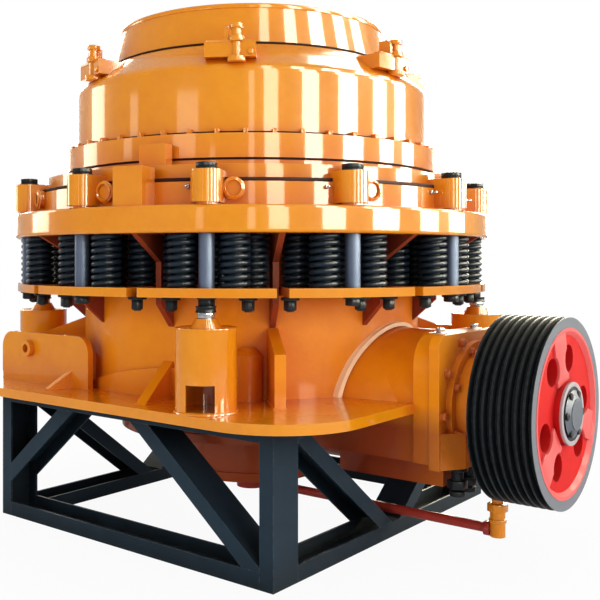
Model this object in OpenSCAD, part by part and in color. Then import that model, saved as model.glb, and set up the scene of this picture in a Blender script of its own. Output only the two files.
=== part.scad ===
// Spring cone crusher on a braced steel stand, with its countershaft along +X.
// The origin is on the crusher's axis at floor level, +Z up.

/* [Stand] */
// Length of the stand along the countershaft
stand_len = 1344; // [1280:4:1500]
// Width of the stand across the countershaft
stand_wid = 1455; // [1400:5:1560]
// Height of the stand, floor to base plate
stand_h = 496; // [400:4:620]
// Depth of the stand's channel section
channel_d = 126; // [100:2:140]
// Flange width of the channel section
channel_b = 53; // [40:1:70]
// Wall thickness of the channel section
channel_t = 8; // [6:1:12]
// Head of the right brace, from the middle of the long side
right_head = 97; // [60:1:140]
// Head of the left brace, from the middle of the long side
left_head = 290; // [220:1:330]
// Height at which the left brace meets its post
left_foot = 169; // [140:1:200]
// Distance between the two brace feet on an end side
foot_gap = 136; // [110:2:180]
// Diameter of the anchor bolt holes
anchor_d = 26; // [18:1:32]
// Distance of each anchor hole from the middle of its beam
anchor_off = 380; // [300:10:480]

/* [Main frame] */
// Outer radius of the main flange
flange_r = 940; // [900:5:1000]
// Thickness of the main flange
flange_t = 87; // [70:1:110]
// Edge rounding of the main flange
flange_round = 10; // [4:1:16]
// Outer radius of the frame shell
shell_r = 670; // [650:5:700]
// Wall of the frame shell
shell_t = 45; // [30:1:55]
// Height of the frame shell above the base plate
shell_h = 550; // [500:5:640]
// Half width of the square base plate
plate_half = 880; // [860:5:920]
// Corner radius of the base plate
plate_corner = 300; // [240:10:360]
// Thickness of the base plate
plate_t = 32; // [24:1:40]
// Outer radius of the discharge ring below the base plate
outlet_r = 515; // [495:5:530]
// Wall of the discharge ring
outlet_t = 35; // [25:1:45]
// Depth of the discharge ring below the base plate
outlet_drop = 150; // [130:2:180]
// Radius of the central hub
hub_r = 268; // [256:1:272]
// Depth of the central hub below the base plate
hub_drop = 344; // [320:2:356]
// Width of the hub's two rear arms
arm_w = 70; // [50:5:90]
// Thickness of the ribs and gussets
rib_t = 36; // [24:1:44]
// Reach of the tall corner ribs from the axis
tall_rib_r = 861; // [840:1:880]
// Height of the tall ribs' outer edge above the base plate
tall_rib_h = 170; // [140:5:190]
// Reach of the low side ribs from the axis
low_rib_r = 850; // [820:1:870]
// Turn of the low ribs from the middle of their side
low_rib_turn = 18; // [16:1:20]

/* [Springs] */
// Number of spring groups
group_n = 12; // [12:1:12]
// Outer diameter of a spring
spring_d = 100; // [90:1:104]
// Radius of the outer row of springs
outer_row_r = 865; // [855:1:875]
// Radius of the inner row of springs
inner_row_r = 752; // [742:1:757]
// Free height between the flange and the spring plates
spring_h = 171; // [140:1:200]
// Thickness of the spring plates
spring_plate_t = 29; // [20:1:36]
// Turn of an outer spring from its rod
outer_turn = 5.6; // [5.4:0.1:6]
// Turn of an inner spring from the next
inner_turn = 9.7; // [9:0.1:10]
// Radius of the spring rods' circle
rod_circle_r = 890; // [885:1:895]
// Diameter of the spring rods
rod_d = 50; // [44:1:54]
// Width across flats of the rod nuts
nut_af = 62; // [56:1:70]
// Height of the cap nuts
cap_h = 22; // [16:1:30]
// Height of the nuts under the spring plates
rod_nut_h = 26; // [18:1:32]
// Thickness of the upper gussets
gusset_t = 20; // [12:1:22]

/* [Adjustment ring] */
// Outer radius of the adjustment ring
ring_r = 850; // [835:1:860]
// Height of the adjustment ring
ring_h = 135; // [120:1:150]
// Width of a lug
lug_w = 100; // [90:1:100]
// Height of a lug
lug_h = 101; // [90:1:110]
// Radius of the raised pads on the flange under the lugs
pad_r = 37; // [34:0.5:38]
// Height of the raised pads on the flange under the lugs
pad_h = 8; // [4:1:12]
// Height of the push bracket above the ring
push_h = 74; // [60:1:90]

/* [Bowl] */
// Outer radius of the bowl's thread
bowl_r = 700; // [690:1:710]
// Clearance between the bowl and the pieces that it turns past
bowl_gap = 6; // [5:0.5:8]
// Clearance at the bowl's thread
thread_gap = 0.8; // [0.5:0.1:0.9]
// Outer radius of the bowl flange
bowl_flange_r = 743; // [735:1:760]
// Height of the bowl flange
bowl_flange_h = 104; // [90:1:120]
// Outer radius of the bowl cover
cover_r = 710; // [695:1:720]
// Height of the bowl cover's straight side
cover_h = 228; // [200:2:260]
// Height of the cover's sloping shoulder
shoulder_h = 101; // [80:1:120]
// Rounding between the cover's side and its shoulder
shoulder_round = 40; // [20:1:60]
// Wall of the bowl cover and hopper
sheet_t = 14; // [10:1:18]
// Outer radius of the hopper at its foot
hopper_foot_r = 571; // [550:1:580]
// Outer radius of the hopper at its rim
hopper_rim_r = 533; // [520:1:560]
// Height of the hopper
hopper_h = 154; // [130:2:200]
// Number of hopper clamps
clamp_n = 7; // [5:1:8]
// Turn of the first hopper clamp from the countershaft
clamp_turn = 46; // [40:1:50]
// Radius of the crushing head at its foot
head_r = 457; // [440:1:465]
// Closed gap between the head and the bowl liner
set_gap = 34; // [20:1:45]

/* [Jacks] */
// Radius of the jacks' circle
jack_circle_r = 898; // [880:1:905]
// Outer radius of a jack
jack_r = 96.5; // [85:0.5:100]
// Height of a jack's body
jack_h = 258; // [220:1:280]
// Wall of a jack's body
jack_t = 10; // [8:1:14]
// Height of a jack's tapered neck
jack_neck_h = 28; // [20:1:34]
// Side of the square window in a jack
window_w = 90; // [70:1:100]

/* [Drive] */
// Height of the countershaft above the floor
shaft_z = 508; // [500:1:530]
// Diameter of the countershaft
shaft_d = 100; // [90:1:110]
// Reach of the countershaft from the axis
shaft_reach = 1322; // [1322:1:1360]
// Half width of the countershaft box
box_half = 240; // [230:1:250]
// Radius of the countershaft box's round back
belly_r = 246; // [235:1:250]
// Depth of the countershaft box below the shaft
box_drop = 171; // [150:1:190]
// Face of the countershaft box from the axis
box_reach = 940; // [920:1:960]
// Depth of the keel under the countershaft box
keel_h = 87; // [60:1:87]
// Half width of the keel under the countershaft box
keel_half = 162; // [130:1:180]
// Thickness of the countershaft box's end flange
box_flange_t = 35; // [24:1:40]
// Height of the box's top above the shaft
box_rise = 245; // [236:1:252]
// Height of the bearing saddle's top below the shaft
saddle_drop = 69; // [60:1:90]
// Outer radius of the bearing cover's flange
bearing_r = 214; // [205:1:222]
// Outer radius of the bearing cover's body
body_r = 184; // [170:1:195]
// Outer radius of the bearing cover's nose
nose_r = 115; // [100:1:130]
// Running clearance round the countershaft
run_gap = 0.1; // [0.05:0.01:0.1]
// Outer diameter of the pulley
pulley_d = 610; // [580:2:640]
// Number of belt grooves
groove_n = 8; // [6:1:8]
// Pitch of the belt grooves
groove_pitch = 25.5; // [22:0.5:26]
// Depth of a belt groove
groove_depth = 19; // [14:1:22]
// Back face of the pulley from the axis
pulley_back = 1088; // [1080:1:1096]
// Outer diameter of the drain pipe
pipe_d = 33; // [28:1:40]
// Height of the drain pipe's centre above the floor
pipe_z = 94; // [80:2:110]
// Outer diameter of the riser above the drain fitting
riser_d = 17; // [12:1:24]

/* [Hidden] */
orange = [0.89, 0.50, 0.15];
steel_blue = [0.17, 0.22, 0.27];
black = [0.10, 0.11, 0.12];
grey = [0.50, 0.52, 0.55];
red = [0.80, 0.14, 0.18];
$fn = 96;
cut = 1;

plate_top = stand_h + plate_t;
flange_z = plate_top + shell_h;
flange_top = flange_z + flange_t;
spring_z = flange_z - spring_h;
spring_plate_z = spring_z - spring_plate_t;
ring_top = flange_top + ring_h;
lug_z = flange_top + pad_h;
lug_top = lug_z + lug_h;
bowl_flange_z = ring_top + bowl_gap;
bowl_flange_top = bowl_flange_z + bowl_flange_h;
cover_top = bowl_flange_top + cover_h;
hopper_z = cover_top + shoulder_h;
hopper_top = hopper_z + hopper_h;
ring_in = bowl_r + thread_gap;
flange_in = shell_r - 20;
group_step = 360 / group_n;
outlet_z = stand_h - outlet_drop;
gusset_foot = spring_plate_z - 110;
rod_hole_r = rod_d / 2 + 1;
post_in = stand_len / 2 - channel_b;
beam_in = stand_wid / 2 - channel_d;
beam_top_z = stand_h - channel_b;

side_turns = [86, 176, 266];

// ---- helpers ----

// Ring between two radii, standing on z.
module ring(outer, inner, z, h) {
    translate([0, 0, z])
    difference() {
        cylinder(r = outer, h = h);
        translate([0, 0, -cut])
        cylinder(r = inner, h = h + 2 * cut);
    }
}

// Children repeated n times round the axis, the first turned by start.
module around(n, start = 0) {
    for (i = [0 : n - 1])
        rotate([0, 0, start + i * 360 / n])
        children();
}

// Upright plate in the plane of a radius, from an outline of radius and height.
module radial_plate(points, t) {
    rotate([90, 0, 0])
    translate([0, 0, -t / 2])
    linear_extrude(height = t)
    polygon(points);
}

// Cylinder along X from x0 to x1 on the countershaft's line.
module along_shaft(r, x0, x1) {
    translate([x0, 0, shaft_z])
    rotate([0, 90, 0])
    cylinder(r = r, h = x1 - x0);
}

// Channel lying along X, its web on top, the section's depth along +Y.
module channel(length) {
    translate([-length / 2, 0, 0])
    difference() {
        cube([length, channel_d, channel_b]);
        translate([-cut, channel_t, -cut])
        cube([length + 2 * cut, channel_d - 2 * channel_t, channel_b - channel_t + cut]);
    }
}

// ---- stand ----

module stand_posts() {
    color(steel_blue)
    for (sx = [0, 1])
        for (sy = [0, 1])
            mirror([sx, 0, 0])
            mirror([0, sy, 0])
            translate([post_in, -stand_wid / 2, 0])
            difference() {
                cube([channel_b, channel_d, stand_h]);
                translate([-cut, channel_t, -cut])
                cube([channel_b - channel_t + cut, channel_d - 2 * channel_t, stand_h + 2 * cut]);
            }
}

// Four beams round the stand: two between the posts, two between those, web side up.
module beam_frame() {
    for (s = [0, 1]) {
        mirror([0, s, 0])
        translate([0, -stand_wid / 2, 0])
        channel(2 * post_in);
        mirror([s, 0, 0])
        translate([stand_len / 2, 0, 0])
        rotate([0, 0, 90])
        channel(2 * beam_in);
    }
}

module stand_base_beams() {
    color(steel_blue)
    difference() {
        translate([0, 0, channel_b])
        mirror([0, 0, 1])
        beam_frame();
        for (sx = [-1, 1])
            for (sy = [-1, 1])
                translate([sx * (stand_len - channel_d) / 2, sy * anchor_off, -cut])
                cylinder(d = anchor_d, h = channel_t + 2 * cut);
    }
}

module stand_top_beams() {
    color(steel_blue)
    difference() {
        translate([0, 0, beam_top_z])
        beam_frame();
        box_shape(0, stand_len / 2 + cut);
    }
}

// Brace in the XZ plane along the line from a to b, cut off by the opening between
// the beams and the posts, whose half width is given.
module brace(a, b, half_open) {
    run = b - a;
    intersection() {
        translate([(a[0] + b[0]) / 2, 0, (a[1] + b[1]) / 2])
        rotate([0, -atan2(run[1], run[0]), 0])
        translate([0, 0, -channel_b / 2])
        channel(norm(run) + 4 * channel_b);
        translate([-half_open, -cut, channel_b])
        cube([2 * half_open, channel_d + 2 * cut, beam_top_z - channel_b]);
    }
}

module stand_side_braces() {
    color(steel_blue)
    for (s = [0, 1])
        mirror([0, s, 0])
        translate([0, -stand_wid / 2, 0]) {
            brace([right_head, beam_top_z], [post_in - channel_b / 2, channel_b], post_in);
            brace([-post_in, left_foot], [-left_head, beam_top_z], post_in);
        }
}

module stand_end_braces() {
    color(steel_blue)
    for (s = [0, 1])
        mirror([s, 0, 0])
        translate([stand_len / 2, 0, 0])
        rotate([0, 0, 90]) {
            brace([-beam_in + channel_b / 2, beam_top_z], [-foot_gap / 2, channel_b], beam_in);
            brace([foot_gap / 2, channel_b], [beam_in - channel_b / 2, beam_top_z], beam_in);
        }
}

// ---- main frame ----

// Outline with two round corners at its top, from low up to high.
module arched_section(half, low, high, corner) {
    translate([-half, low])
    square([2 * half, high - corner - low]);
    translate([corner - half, low])
    square([2 * (half - corner), high - low]);
    for (s = [-1, 1])
        translate([s * (half - corner), high - corner])
        circle(r = corner);
}

// Children drawn across the countershaft, as distance and height from it, made solid
// from x0 to x1.
module across_shaft(x0, x1) {
    translate([x0, 0, shaft_z])
    rotate([90, 0, 90])
    linear_extrude(height = x1 - x0)
    children();
}

// The box's outer shape from x0 to x1: a round back over square cheeks.
module box_shape(x0, x1) {
    across_shaft(x0, x1)
    union() {
        translate([0, box_rise - belly_r])
        circle(r = belly_r);
        translate([-box_half, -box_drop])
        square([2 * box_half, box_drop]);
    }
}

module base_plate() {
    inset = plate_half - plate_corner;
    color(orange)
    difference() {
        translate([0, 0, stand_h])
        linear_extrude(height = plate_t)
        union() {
            square([2 * plate_half, 2 * inset], center = true);
            square([2 * inset, 2 * plate_half], center = true);
            for (sx = [-1, 1])
                for (sy = [-1, 1])
                    translate([sx * inset, sy * inset])
                    circle(r = plate_corner);
        }
        translate([0, 0, stand_h - cut])
        cylinder(r = outlet_r - outlet_t, h = plate_t + 2 * cut);
        box_shape(0, plate_half + cut);
    }
}

// Raised collar on the shell round the foot of the countershaft box.
module box_collar() {
    collar_r = 306;
    collar_drop = 43;
    collar_w = 14;
    collar_t = 18;
    intersection() {
        translate([0, 0, plate_top])
        cylinder(r = shell_r + collar_t, h = shell_h);
        translate([shell_r / 2, 0, shaft_z - collar_drop])
        rotate([0, 90, 0])
        difference() {
            cylinder(r = collar_r, h = shell_r);
            translate([0, 0, -cut])
            cylinder(r = collar_r - collar_w, h = shell_r + 2 * cut);
        }
    }
}

module frame_shell() {
    color(orange)
    difference() {
        union() {
            translate([0, 0, plate_top])
            cylinder(r = shell_r, h = shell_h);
            box_collar();
        }
        translate([0, 0, plate_top - cut])
        cylinder(r = shell_r - shell_t, h = shell_h + 2 * cut);
        box_shape(0, shell_r + cut);
    }
}

module discharge_ring() {
    lip_h = 32;
    lip_w = 10;
    color(orange)
    difference() {
        union() {
            ring(outlet_r, outlet_r - outlet_t, outlet_z, outlet_drop);
            ring(outlet_r + lip_w, outlet_r - outlet_t, outlet_z, lip_h);
        }
        box_shape(0, outlet_r + lip_w + cut);
    }
}

hub_z = stand_h - hub_drop;
hub_top = plate_top + 90;
hub_lip_w = 8;
hub_lip_h = 34;

// Hub with a lip at its foot, a bore for the countershaft and two arms to the rear.
module frame_hub() {
    arm_h = 110;
    arm_top = stand_h - 20;
    bore_gap = 10;
    color(orange)
    difference() {
        union() {
            translate([0, 0, hub_z])
            cylinder(r = hub_r, h = hub_top - hub_z);
            translate([0, 0, hub_z])
            cylinder(r = hub_r + hub_lip_w, h = hub_lip_h);
            intersection() {
                for (a = [135, 225])
                    rotate([0, 0, a])
                    translate([0, -arm_w / 2, arm_top - arm_h])
                    cube([outlet_r, arm_w, arm_h]);
                translate([0, 0, outlet_z])
                cylinder(r = outlet_r - outlet_t, h = outlet_drop);
            }
        }
        along_shaft(shaft_d / 2 + bore_gap, shaft_start - bore_gap, hub_r + cut);
    }
}

module tall_ribs() {
    rib_top = plate_top + tall_rib_h;
    color(orange)
    difference() {
        around(4, 45)
        radial_plate([[shell_r - shell_t, plate_top], [tall_rib_r, plate_top],
            [tall_rib_r, rib_top], [shell_r, gusset_foot], [shell_r - shell_t, gusset_foot]],
            rib_t);
        cylinder(r = shell_r, h = flange_top);
    }
}

// Low rib of one side, turned by a.
module low_rib(a) {
    rise = 124;
    rotate([0, 0, a])
    radial_plate([[shell_r - shell_t, plate_top], [low_rib_r, plate_top],
        [shell_r, plate_top + rise], [shell_r - shell_t, plate_top + rise]], rib_t);
}

// Raised pad on the shell under a shallow arch, beside one pair of low ribs.
module arch_pad(a) {
    arch_r = 1190;
    arch_top = plate_top + 102;
    arch_turn = 23;
    reach = 17;
    pad_t = 16;
    rotate([0, 0, a + arch_turn])
    intersection() {
        translate([0, 0, plate_top])
        cylinder(r = shell_r + pad_t, h = shell_h);
        translate([0, 0, arch_top - arch_r])
        rotate([0, 90, 0])
        cylinder(r = arch_r, h = flange_r);
        rotate([0, 0, -arch_turn])
        translate([0, -flange_r * sin(reach), plate_top])
        cube([flange_r, 2 * flange_r * sin(reach), shell_h]);
    }
}

module low_ribs() {
    color(orange)
    difference() {
        for (a = side_turns)
            for (s = [-1, 1])
                low_rib(a + s * low_rib_turn);
        cylinder(r = shell_r, h = flange_top);
    }
}

// Upright bosses on the shell, one beside each tall rib, and the arched pads.
module shell_bosses() {
    boss_r = 52;
    boss_h = 150;
    crown_h = 24;
    color(orange)
    difference() {
        union() {
            around(4, 38)
            translate([shell_r - 2, 0, plate_top]) {
                cylinder(r = boss_r, h = boss_h);
                translate([0, 0, boss_h - cut])
                cylinder(r1 = boss_r, r2 = boss_r / 2, h = crown_h + cut);
            }
            for (a = side_turns)
                arch_pad(a);
        }
        cylinder(r = shell_r, h = flange_top);
        for (a = side_turns)
            for (s = [-1, 1])
                low_rib(a + s * low_rib_turn);
    }
}

module main_flange() {
    c = flange_round;
    color(orange)
    difference() {
        union() {
            rotate_extrude()
            polygon(concat(
                [[flange_in, flange_top], [flange_in, flange_z]],
                [for (a = [-90 : 30 : 0]) [flange_r - c + c * cos(a), flange_z + c + c * sin(a)]],
                [for (a = [0 : 30 : 90]) [flange_r - c + c * cos(a), flange_top - c + c * sin(a)]]
            ));
            around(group_n)
            translate([rod_circle_r, 0, flange_top - cut])
            cylinder(r = pad_r, h = pad_h + cut);
        }
        around(group_n)
        translate([rod_circle_r, 0, flange_z - cut])
        cylinder(r = rod_hole_r, h = flange_t + pad_h + 2 * cut);
    }
}

module upper_gussets() {
    leg_r = 757;
    tip_r = flange_r - 28;
    slope_z = flange_z - 90;
    color(orange)
    difference() {
        around(group_n, group_step / 2)
        radial_plate([[shell_r - shell_t, flange_z], [tip_r, flange_z], [leg_r, slope_z],
            [leg_r, spring_plate_z - 30], [shell_r, gusset_foot],
            [shell_r - shell_t, gusset_foot]], gusset_t);
        cylinder(r = shell_r, h = flange_top);
    }
}

// ---- countershaft box ----

shaft_start = 120;
bore_r = shaft_d / 2 + 60;

module countershaft_box() {
    cone_drop = 30;
    cone_r = 292;
    cone_end_r = 240;
    cone_start = 560;
    block_x = plate_half;
    block_half = box_half + 13;
    block_corner = 104;
    keel_start = 538;
    color(orange)
    difference() {
        union() {
            box_shape(0, box_reach);
            across_shaft(keel_start, box_reach)
            translate([-keel_half, -box_drop - keel_h])
            square([2 * keel_half, keel_h + cut]);
            across_shaft(block_x, box_reach)
            arched_section(block_half, -box_drop, box_rise, block_corner);
            difference() {
                intersection() {
                    translate([cone_start, 0, shaft_z - cone_drop])
                    rotate([0, 90, 0])
                    cylinder(r1 = cone_r, r2 = cone_end_r, h = block_x - cone_start);
                    translate([0, -cone_r, plate_top])
                    cube([block_x, 2 * cone_r, shell_h]);
                }
                cylinder(r = shell_r, h = flange_top);
            }
        }
        along_shaft(bore_r, 0, box_reach + cut);
        cylinder(r = hub_r, h = flange_top);
        translate([0, 0, hub_z])
        cylinder(r = hub_r + hub_lip_w, h = hub_lip_h);
        translate([0, 0, hub_top])
        cylinder(r = head_foot_r, h = flange_top);
    }
}

module box_flange() {
    rim_w = 20;
    corner = 44;
    color(orange)
    difference() {
        across_shaft(box_reach, box_reach + box_flange_t)
        arched_section(box_half + rim_w, -box_drop - sole_t, box_rise, corner);
        along_shaft(bore_r, box_reach - cut, box_reach + box_flange_t + cut);
    }
}

sole_t = 14;
cover_face = box_reach + box_flange_t;
nose_face = pulley_back - 8;

module cover_shape() {
    rim_t = 20;
    body_t = 64;
    along_shaft(bearing_r, cover_face, cover_face + rim_t);
    along_shaft(body_r, cover_face, cover_face + body_t);
    along_shaft(nose_r, cover_face, nose_face);
}

module bearing_cover() {
    color(orange)
    difference() {
        cover_shape();
        along_shaft(shaft_d / 2 + run_gap, cover_face - cut, nose_face + cut);
    }
}

// Ledge on the end flange that carries the lower half of the bearing cover.
module bearing_saddle() {
    saddle_t = 48;
    foot_half = box_half + 8;
    tip_half = 170;
    color(orange)
    difference() {
        translate([0, 0, shaft_z - box_drop - sole_t])
        linear_extrude(height = box_drop + sole_t - saddle_drop)
        polygon([[cover_face, -foot_half], [cover_face + saddle_t, -tip_half],
            [cover_face + saddle_t, tip_half], [cover_face, foot_half]]);
        cover_shape();
    }
}

// ---- springs ----

module spring_plates() {
    half_turn = group_step / 2 - 1.2;
    plate_in = 690;
    plate_out = 926;
    reach = flange_r / cos(half_turn);
    color(orange)
    difference() {
        around(group_n)
        translate([0, 0, spring_plate_z])
        intersection() {
            difference() {
                cylinder(r = plate_out, h = spring_plate_t);
                translate([0, 0, -cut])
                cylinder(r = plate_in, h = spring_plate_t + 2 * cut);
            }
            linear_extrude(height = spring_plate_t)
            polygon([[0, 0], [reach, -reach * tan(half_turn)], [reach, reach * tan(half_turn)]]);
        }
        around(group_n)
        translate([rod_circle_r, 0, spring_plate_z - cut])
        cylinder(r = rod_hole_r, h = spring_plate_t + 2 * cut);
    }
}

module spring(r, turn) {
    rotate([0, 0, turn])
    translate([r, 0, spring_z])
    cylinder(d = spring_d, h = spring_h);
}

module outer_springs() {
    color(black)
    around(group_n)
    for (s = [-1, 1])
        spring(outer_row_r, s * outer_turn);
}

// The end springs stand clear of the gussets between the groups.
module inner_springs() {
    gusset_gap = 0.5;
    half_pair = (spring_d + gusset_t) / 2 + gusset_gap;
    turn = min(inner_turn, group_step / 2 - asin(half_pair / inner_row_r));
    color(black)
    around(group_n)
    for (s = [-1, 0, 1])
        spring(inner_row_r, s * turn);
}

module spring_rods() {
    color(grey)
    around(group_n)
    translate([rod_circle_r, 0, spring_plate_z])
    cylinder(d = rod_d, h = lug_top - spring_plate_z);
}

// Solid hexagon nut standing on z.
module hex_nut(z, h) {
    translate([rod_circle_r, 0, z])
    cylinder(d = nut_af / cos(30), h = h, $fn = 6);
}

// Cap nuts above the lugs and nuts under the spring plates.
module rod_nuts() {
    color(black)
    around(group_n) {
        hex_nut(lug_top, cap_h);
        hex_nut(spring_plate_z - rod_nut_h, rod_nut_h);
    }
}

// ---- adjustment ring ----

module adjustment_ring() {
    step_h = 48;
    step_in = 26;
    color(orange)
    difference() {
        union() {
            ring(ring_r, ring_in, flange_top, ring_h - step_h);
            ring(ring_r - step_in, ring_in, flange_top + ring_h - step_h - cut, step_h + cut);
            around(group_n)
            translate([0, 0, lug_z]) {
                translate([ring_in + 10, -lug_w / 2, 0])
                cube([rod_circle_r - ring_in - 10, lug_w, lug_h]);
                translate([rod_circle_r, 0, 0])
                cylinder(d = lug_w, h = lug_h);
            }
        }
        around(group_n)
        translate([rod_circle_r, 0, lug_z - cut])
        cylinder(r = rod_hole_r, h = lug_h + 2 * cut);
    }
}

lock_turn = -76;
lock_w = 108;

module lock_block() {
    lock_out = 925;
    color(orange)
    rotate([0, 0, lock_turn])
    difference() {
        translate([ring_r - 40, -lock_w / 2, flange_top])
        cube([lock_out - ring_r + 40, lock_w, ring_h - 10]);
        translate([0, 0, flange_top - cut])
        cylinder(r = ring_r, h = ring_h + 2 * cut);
    }
}

module push_bracket() {
    push_t = 46;
    push_w = 98;
    color(orange)
    rotate([0, 0, lock_turn + 1])
    translate([bowl_flange_r + bowl_gap + 4, -push_w / 2, ring_top])
    cube([push_t, push_w, push_h]);
}

// ---- jacks ----

ram_pad_r = 33;

module jack_bodies() {
    foot_r = 50;
    foot_t = 8;
    color(orange)
    around(4, 30)
    translate([jack_circle_r, 0, plate_top])
    difference() {
        union() {
            cylinder(r = jack_r, h = jack_h);
            translate([0, 0, jack_h - cut])
            cylinder(r1 = foot_r, r2 = ram_pad_r, h = jack_neck_h + cut);
        }
        translate([0, 0, foot_t])
        cylinder(r = jack_r - jack_t, h = jack_h - foot_t - jack_t);
        translate([jack_r / 2, -window_w / 2, foot_t])
        cube([jack_r, window_w, window_w - foot_t]);
    }
}

module jack_rods() {
    neck_top = plate_top + jack_h + jack_neck_h;
    ram_r = 27;
    ram_h = 18;
    color(black)
    around(4, 30)
    translate([jack_circle_r, 0, neck_top]) {
        cylinder(r = ram_r, h = ram_h);
        translate([0, 0, ram_h - cut])
        cylinder(r = ram_pad_r, h = spring_plate_z - rod_nut_h - neck_top - ram_h + cut);
    }
}

// Upright plates with a bored boss, standing on the base plate along two sides and
// slotted over a low rib.
module side_brackets() {
    bracket_x = -436;
    bracket_half = 256;
    bracket_y = 690;
    bracket_h = 189;
    bracket_t = 24;
    corner = 60;
    boss_x = -517;
    boss_z = 130;
    boss_r = 30;
    boss_bore_r = 16;
    color(orange)
    around(2)
    difference() {
        translate([0, -bracket_y, plate_top])
        rotate([90, 0, 0]) {
            linear_extrude(height = bracket_t)
            translate([bracket_x, 0])
            arched_section(bracket_half, 0, bracket_h, corner);
            translate([boss_x, boss_z, bracket_t - cut])
            difference() {
                cylinder(r = boss_r, h = bracket_t);
                cylinder(r = boss_bore_r, h = bracket_t + cut);
            }
        }
        low_rib(side_turns[2] - low_rib_turn);
    }
}

// ---- crushing head ----

head_z = flange_z - 90;
head_top = head_z + 470;
head_foot_r = hub_r + 12;
neck_r = 200;
nut_r = 170;

module head_support() {
    color(grey)
    translate([0, 0, hub_top])
    cylinder(r = head_foot_r, h = head_z - hub_top);
}

module mantle() {
    skirt_h = 70;
    nut_h = 40;
    color(grey)
    rotate_extrude()
    polygon([[0, head_z], [head_r, head_z], [head_r, head_z + skirt_h],
        [neck_r, head_top - nut_h], [nut_r, head_top], [0, head_top]]);
}

module feed_plate() {
    plate_h = 36;
    color(grey)
    translate([0, 0, head_top])
    cylinder(r1 = neck_r - 10, r2 = neck_r - 25, h = plate_h);
}

// ---- bowl ----

bowl_z = flange_z + 10;
bowl_top = bowl_flange_top + 60;
bowl_seat_r = 620;
mouth_r = 410;
liner_t = 60;
liner_foot_t = 42;
liner_drop = 30;
liner_in = head_r + set_gap;

module bowl() {
    foot_r = min(flange_in - bowl_gap, bowl_r);
    color(orange)
    rotate_extrude()
    polygon([[liner_in + liner_foot_t, bowl_z], [foot_r, bowl_z],
        [foot_r, flange_top + bowl_gap], [bowl_r, flange_top + bowl_gap],
        [bowl_r, bowl_flange_z], [bowl_seat_r, bowl_flange_z], [bowl_seat_r, bowl_top],
        [mouth_r, bowl_top]]);
}

module bowl_liner() {
    color(grey)
    rotate_extrude()
    polygon([[liner_in, bowl_z - liner_drop], [liner_in + liner_foot_t, bowl_z - liner_drop],
        [liner_in + liner_foot_t, bowl_z], [mouth_r, bowl_top], [mouth_r - liner_t, bowl_top],
        [mouth_r - liner_t, bowl_top - liner_t]]);
}

module bowl_flange() {
    step_h = 24;
    step_in = 7;
    color(orange)
    union() {
        ring(bowl_flange_r - step_in, bowl_seat_r, bowl_flange_z, step_h + cut);
        ring(bowl_flange_r, bowl_seat_r, bowl_flange_z + step_h, bowl_flange_h - step_h);
    }
}

lip_r = hopper_foot_r + 8;
shoulder_n = 4;

// Points of the rounding where the cover's side turns into its shoulder, a cone up to its top.
function shoulder(side_r, top_r, z, rise) =
    let (turn = 90 - atan2(rise, side_r - top_r), low = z - shoulder_round * tan(turn / 2)) [
        for (i = [0 : shoulder_n])
            [side_r - shoulder_round * (1 - cos(turn * i / shoulder_n)),
                low + shoulder_round * sin(turn * i / shoulder_n)]
    ];

module bowl_cover() {
    t = sheet_t;
    lip_w = 40;
    inside = shoulder(cover_r - t, lip_r - t, cover_top, shoulder_h - t);
    color(orange)
    rotate_extrude()
    polygon(concat(
        [[cover_r, bowl_flange_top]],
        shoulder(cover_r, lip_r, cover_top, shoulder_h),
        [[lip_r, hopper_z], [lip_r - lip_w, hopper_z], [lip_r - lip_w, hopper_z - t],
            [lip_r - t, hopper_z - t]],
        [for (i = [len(inside) - 1 : -1 : 0]) inside[i]],
        [[cover_r - t, bowl_flange_top]]
    ));
}

module hopper() {
    color(orange)
    rotate_extrude()
    polygon([[hopper_foot_r - sheet_t, hopper_z], [hopper_foot_r, hopper_z],
        [hopper_rim_r, hopper_top], [hopper_rim_r - sheet_t, hopper_top]]);
}

module hopper_funnel() {
    foot = mouth_r - liner_t + 12;
    rim = hopper_rim_r - sheet_t - 6;
    top = hopper_top - 30;
    color(orange)
    rotate_extrude()
    polygon([[foot, bowl_top], [foot + 18, bowl_top], [rim, top], [rim - sheet_t, top]]);
}

module hopper_clamps() {
    bolt_r = 698;
    bolt_d = 32;
    bolt_h = 108;
    clamp_z = cover_top + 28;
    clamp_w = 172;
    clamp_h = 50;
    clamp_in = 100;
    clamp_out = 8;
    color(orange)
    difference() {
        around(clamp_n, clamp_turn)
        translate([bolt_r, 0, clamp_z]) {
            translate([-clamp_in, -clamp_w / 2, 0])
            cube([clamp_in + clamp_out, clamp_w, clamp_h]);
            translate([0, clamp_w / 8, 0])
            cylinder(d = bolt_d, h = bolt_h);
        }
        rotate_extrude($fn = 300)
        polygon(concat(
            [[0, cover_top]],
            shoulder(cover_r, lip_r, cover_top, shoulder_h),
            [[lip_r, hopper_z], [0, hopper_z]]
        ));
    }
}

// ---- drive ----

module countershaft() {
    color(grey)
    along_shaft(shaft_d / 2, shaft_start, shaft_reach);
}

pulley_w = groove_n * groove_pitch;
pulley_face = pulley_back + pulley_w;
rim_wall = 25;
rim_in = pulley_d / 2 - groove_depth - rim_wall;

// One turn of children drawn as radius and distance along the shaft.
module turned() {
    translate([0, 0, shaft_z])
    rotate([0, 90, 0])
    rotate_extrude()
    children();
}

module pulley_rim() {
    r = pulley_d / 2;
    land = 3;
    slope = 5;
    color(black)
    turned()
    polygon(concat(
        [[rim_in, pulley_back], [r, pulley_back]],
        [for (i = [0 : groove_n - 1]) each [
            [r, pulley_back + i * groove_pitch + land],
            [r - groove_depth, pulley_back + i * groove_pitch + land + slope],
            [r - groove_depth, pulley_back + (i + 1) * groove_pitch - land - slope],
            [r, pulley_back + (i + 1) * groove_pitch - land]
        ]],
        [[r, pulley_face], [rim_in, pulley_face]]
    ));
}

web_hub_r = 101;

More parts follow.
